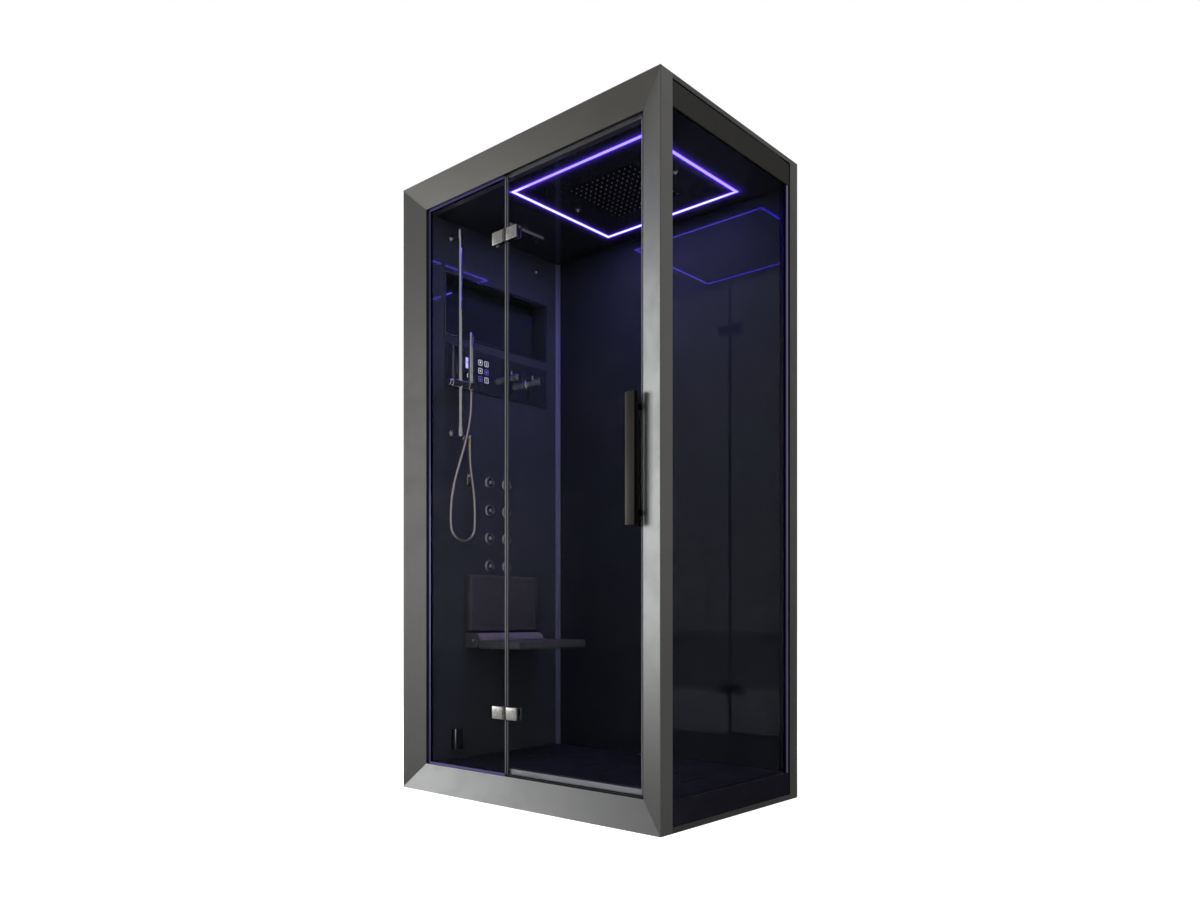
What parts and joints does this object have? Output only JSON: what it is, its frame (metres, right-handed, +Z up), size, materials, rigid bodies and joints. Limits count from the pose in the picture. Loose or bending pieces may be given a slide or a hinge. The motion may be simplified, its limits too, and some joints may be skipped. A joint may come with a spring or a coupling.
{
  "type": "steam shower cabin",
  "caption": "Free-standing steam shower cabin with bevelled front frame, hinged glass door, folding seat, rain head, body jets, hand shower and lit ceiling.",
  "frame": {"origin": "centre of the footprint on the floor", "axes": "+X along the glazed front towards the side glass, +Y from the front to the rear wall, +Z up"},
  "size_m": [1.2, 0.8, 2.23],
  "materials": {
    "titanium_grey": "satin",
    "structure": "satin",
    "graphite": "satin",
    "tray_acrylic": "satin",
    "cover_black": "satin",
    "board_black": "high gloss",
    "infill_dark": "satin",
    "tinted_glass": "clear, slightly grey",
    "bright_profile": "satin",
    "dark_profile": "satin",
    "seal_clear": "soft clear",
    "chrome": "polished",
    "pin_steel": "ground",
    "handle_bronze": "brushed dark",
    "chromed_plastic": "chromed",
    "hose_metal": "metallic",
    "led_light": "opal",
    "rain_black": "satin",
    "silicone": "soft",
    "panel_black": "mirror gloss",
    "display_light": "lit",
    "key_light": "lit",
    "seat_grey": "satin",
    "steam_black": "satin",
    "stainless": "brushed",
    "box_grey": "matt",
    "copper_pipe": "drawn",
    "brass": "cast",
    "drain_plastic": "moulded",
    "rubber_foot": "moulded"
  },
  "bodies": {
    "cabin": {"back_wall_panel": "board_black", "blade_outlet": "chrome", "ceiling_panel": "board_black", "control_panel": "panel_black", "corner_profiles": "bright_profile", "door_stop_frame": "dark_profile", "drain_trap": "drain_plastic", "fixed_glass": "tinted_glass", "fixed_glass_channels": "bright_profile", "floor_cover": "cover_black", "frame_back_plates": "structure", "front_frame_bottom": "titanium_grey", "front_frame_left": "titanium_grey", "front_frame_right": "titanium_grey", "front_frame_top": "titanium_grey", "hinge_fixed_leaves": "chrome", "hose": "hose_metal", "hose_elbow": "chrome", "jet_flanges": "chrome", "jet_nozzles": "rain_black", "led_diffuser": "led_light", "left_cladding": "graphite", "left_wall_panel": "board_black", "levelling_feet": "rubber_foot", "meeting_seal": "seal_clear", "mist_nozzles": "chrome", "mixer_valve": "brass", "niche_liner": "panel_black", "panel_display": "display_light", "pipework": "copper_pipe", "pivot_pins": "pin_steel", "power_box": "box_grey", "rail_brackets": "chrome", "rain_head": "rain_black", "rain_nozzles": "silicone", "rear_frame": "structure", "roof_cover": "graphite", "seat_backrest": "seat_grey", "seat_bracket": "seat_grey", "shower_tray": "tray_acrylic", "side_glass": "tinted_glass", "side_infills": "infill_dark", "side_rails": "structure", "slide_rail": "chrome", "steam_generator": "stainless", "steam_outlet": "steam_black", "temperature_sensor": "chrome", "touch_keys": "key_light", "wall_hook": "chrome"},
    "door": {"door_glass": "tinted_glass", "door_hinge_leaves": "chrome", "door_handle": "handle_bronze", "door_seals": "seal_clear"},
    "seat": {"seat_slab": "seat_grey"},
    "slider": {"slider_block": "chrome"},
    "lock_knob": {"slider_knob": "chrome"},
    "cradle": {"handset_cradle": "chrome", "handset": "chromed_plastic"},
    "temperature": {"temperature_knob": "chrome"},
    "diverter": {"diverter_knob": "chrome"}
  },
  "joints": [
    {"name": "door_swing", "type": "hinge", "parent": "cabin", "child": "door", "pos_m": [-0.09, -0.359, 1.122], "axis": [0, 0, -1], "range_deg": [0, 90]},
    {"name": "seat_fold", "type": "hinge", "parent": "cabin", "child": "seat", "pos_m": [-0.462, 0.011, 0.546], "axis": [0, -1, 0], "range_deg": [0, 90]},
    {"name": "slider_height", "type": "slide", "parent": "cabin", "child": "slider", "axis": [0, 0, 1], "range_m": [-0.11, 0.4], "deforming": ["hose"]},
    {"name": "lock_knob_turn", "type": "hinge", "parent": "slider", "child": "lock_knob", "pos_m": [-0.456, -0.293, 1.512], "axis": [0, -1, 0], "range_deg": [0, 90]},
    {"name": "cradle_tilt", "type": "hinge", "parent": "slider", "child": "cradle", "pos_m": [-0.456, -0.188, 1.512], "axis": [0, 1, 0], "range_deg": [-8, 20], "deforming": ["hose"]},
    {"name": "temperature_turn", "type": "hinge", "parent": "cabin", "child": "temperature", "pos_m": [-0.47, 0.052, 1.594], "axis": [1, 0, 0], "range_deg": [-90, 90]},
    {"name": "diverter_turn", "type": "hinge", "parent": "cabin", "child": "diverter", "pos_m": [-0.465, 0.163, 1.594], "axis": [1, 0, 0], "range_deg": [0, 180]}
  ]
}
